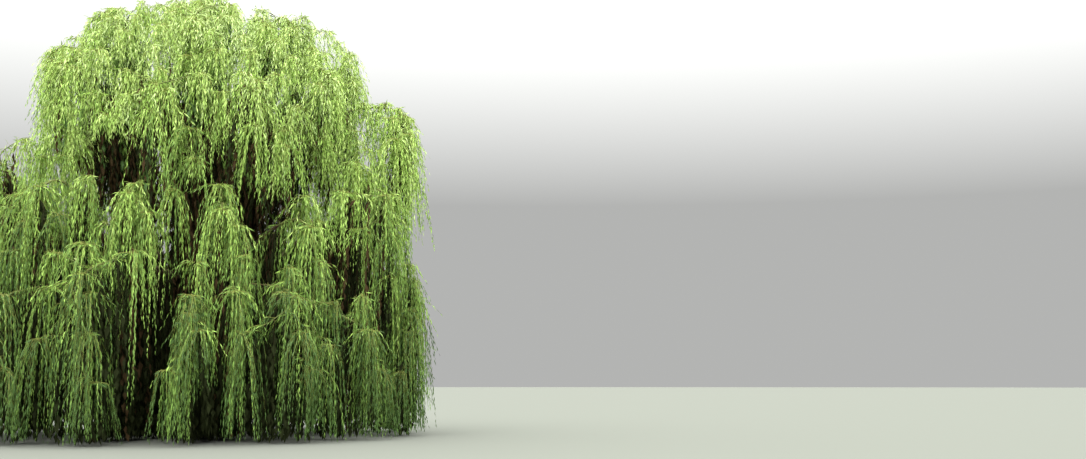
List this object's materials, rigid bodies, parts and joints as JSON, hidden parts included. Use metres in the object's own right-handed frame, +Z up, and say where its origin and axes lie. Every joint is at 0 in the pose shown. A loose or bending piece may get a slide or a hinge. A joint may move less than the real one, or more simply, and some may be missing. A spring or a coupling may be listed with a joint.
{
  "type": "weeping willow tree",
  "caption": "Mature weeping willow with a short thick trunk, rising leaders, spreading arms and long hanging curtains of foliage down to the ground.",
  "frame": {"origin": "middle of the flat cut under the trunk, at ground level", "axes": "+Z up the trunk, -Y towards the viewer of the picture, +X to the viewer's right"},
  "size_m": [15.8123, 15.5559, 13.9899],
  "materials": {
    "bark": "rough grey-brown bark with deep upright furrows",
    "foliage_upper": "matt yellow-green willow leaves on fine hanging twigs",
    "foliage_lower": "matt mid-green willow leaves on fine hanging twigs"
  },
  "bodies": {
    "root": {"trunk": "bark", "bough_top": "bark", "leader_1": "bark", "leader_2": "bark", "leader_3": "bark", "leader_4": "bark", "leader_5": "bark", "leader_6": "bark", "arm_1": "bark", "arm_2": "bark", "arm_3": "bark", "arm_4": "bark", "arm_5": "bark", "arm_6": "bark", "arm_7": "bark", "arm_8": "bark", "crown": "foliage_upper", "dome_1": "foliage_upper", "dome_2": "foliage_upper", "dome_3": "foliage_upper", "dome_4": "foliage_upper", "dome_5": "foliage_upper", "dome_6": "foliage_upper", "shoulder_1": "foliage_upper", "shoulder_2": "foliage_upper", "shoulder_3": "foliage_upper", "shoulder_4": "foliage_upper", "shoulder_5": "foliage_upper", "shoulder_6": "foliage_upper", "shoulder_7": "foliage_upper", "shoulder_8": "foliage_upper", "shoulder_9": "foliage_upper", "skirt_1": "foliage_lower", "skirt_2": "foliage_lower", "skirt_3": "foliage_lower", "skirt_4": "foliage_lower", "skirt_5": "foliage_lower", "skirt_6": "foliage_lower", "skirt_7": "foliage_lower", "skirt_8": "foliage_lower", "skirt_9": "foliage_lower", "skirt_10": "foliage_lower", "skirt_11": "foliage_lower", "skirt_12": "foliage_lower", "hem_1": "foliage_lower", "hem_2": "foliage_lower", "hem_3": "foliage_lower", "hem_4": "foliage_lower", "hem_5": "foliage_lower", "hem_6": "foliage_lower", "hem_7": "foliage_lower", "hem_8": "foliage_lower", "hem_9": "foliage_lower", "hem_10": "foliage_lower", "hem_11": "foliage_lower", "hem_12": "foliage_lower", "hem_13": "foliage_lower"}
  },
  "joints": []
}
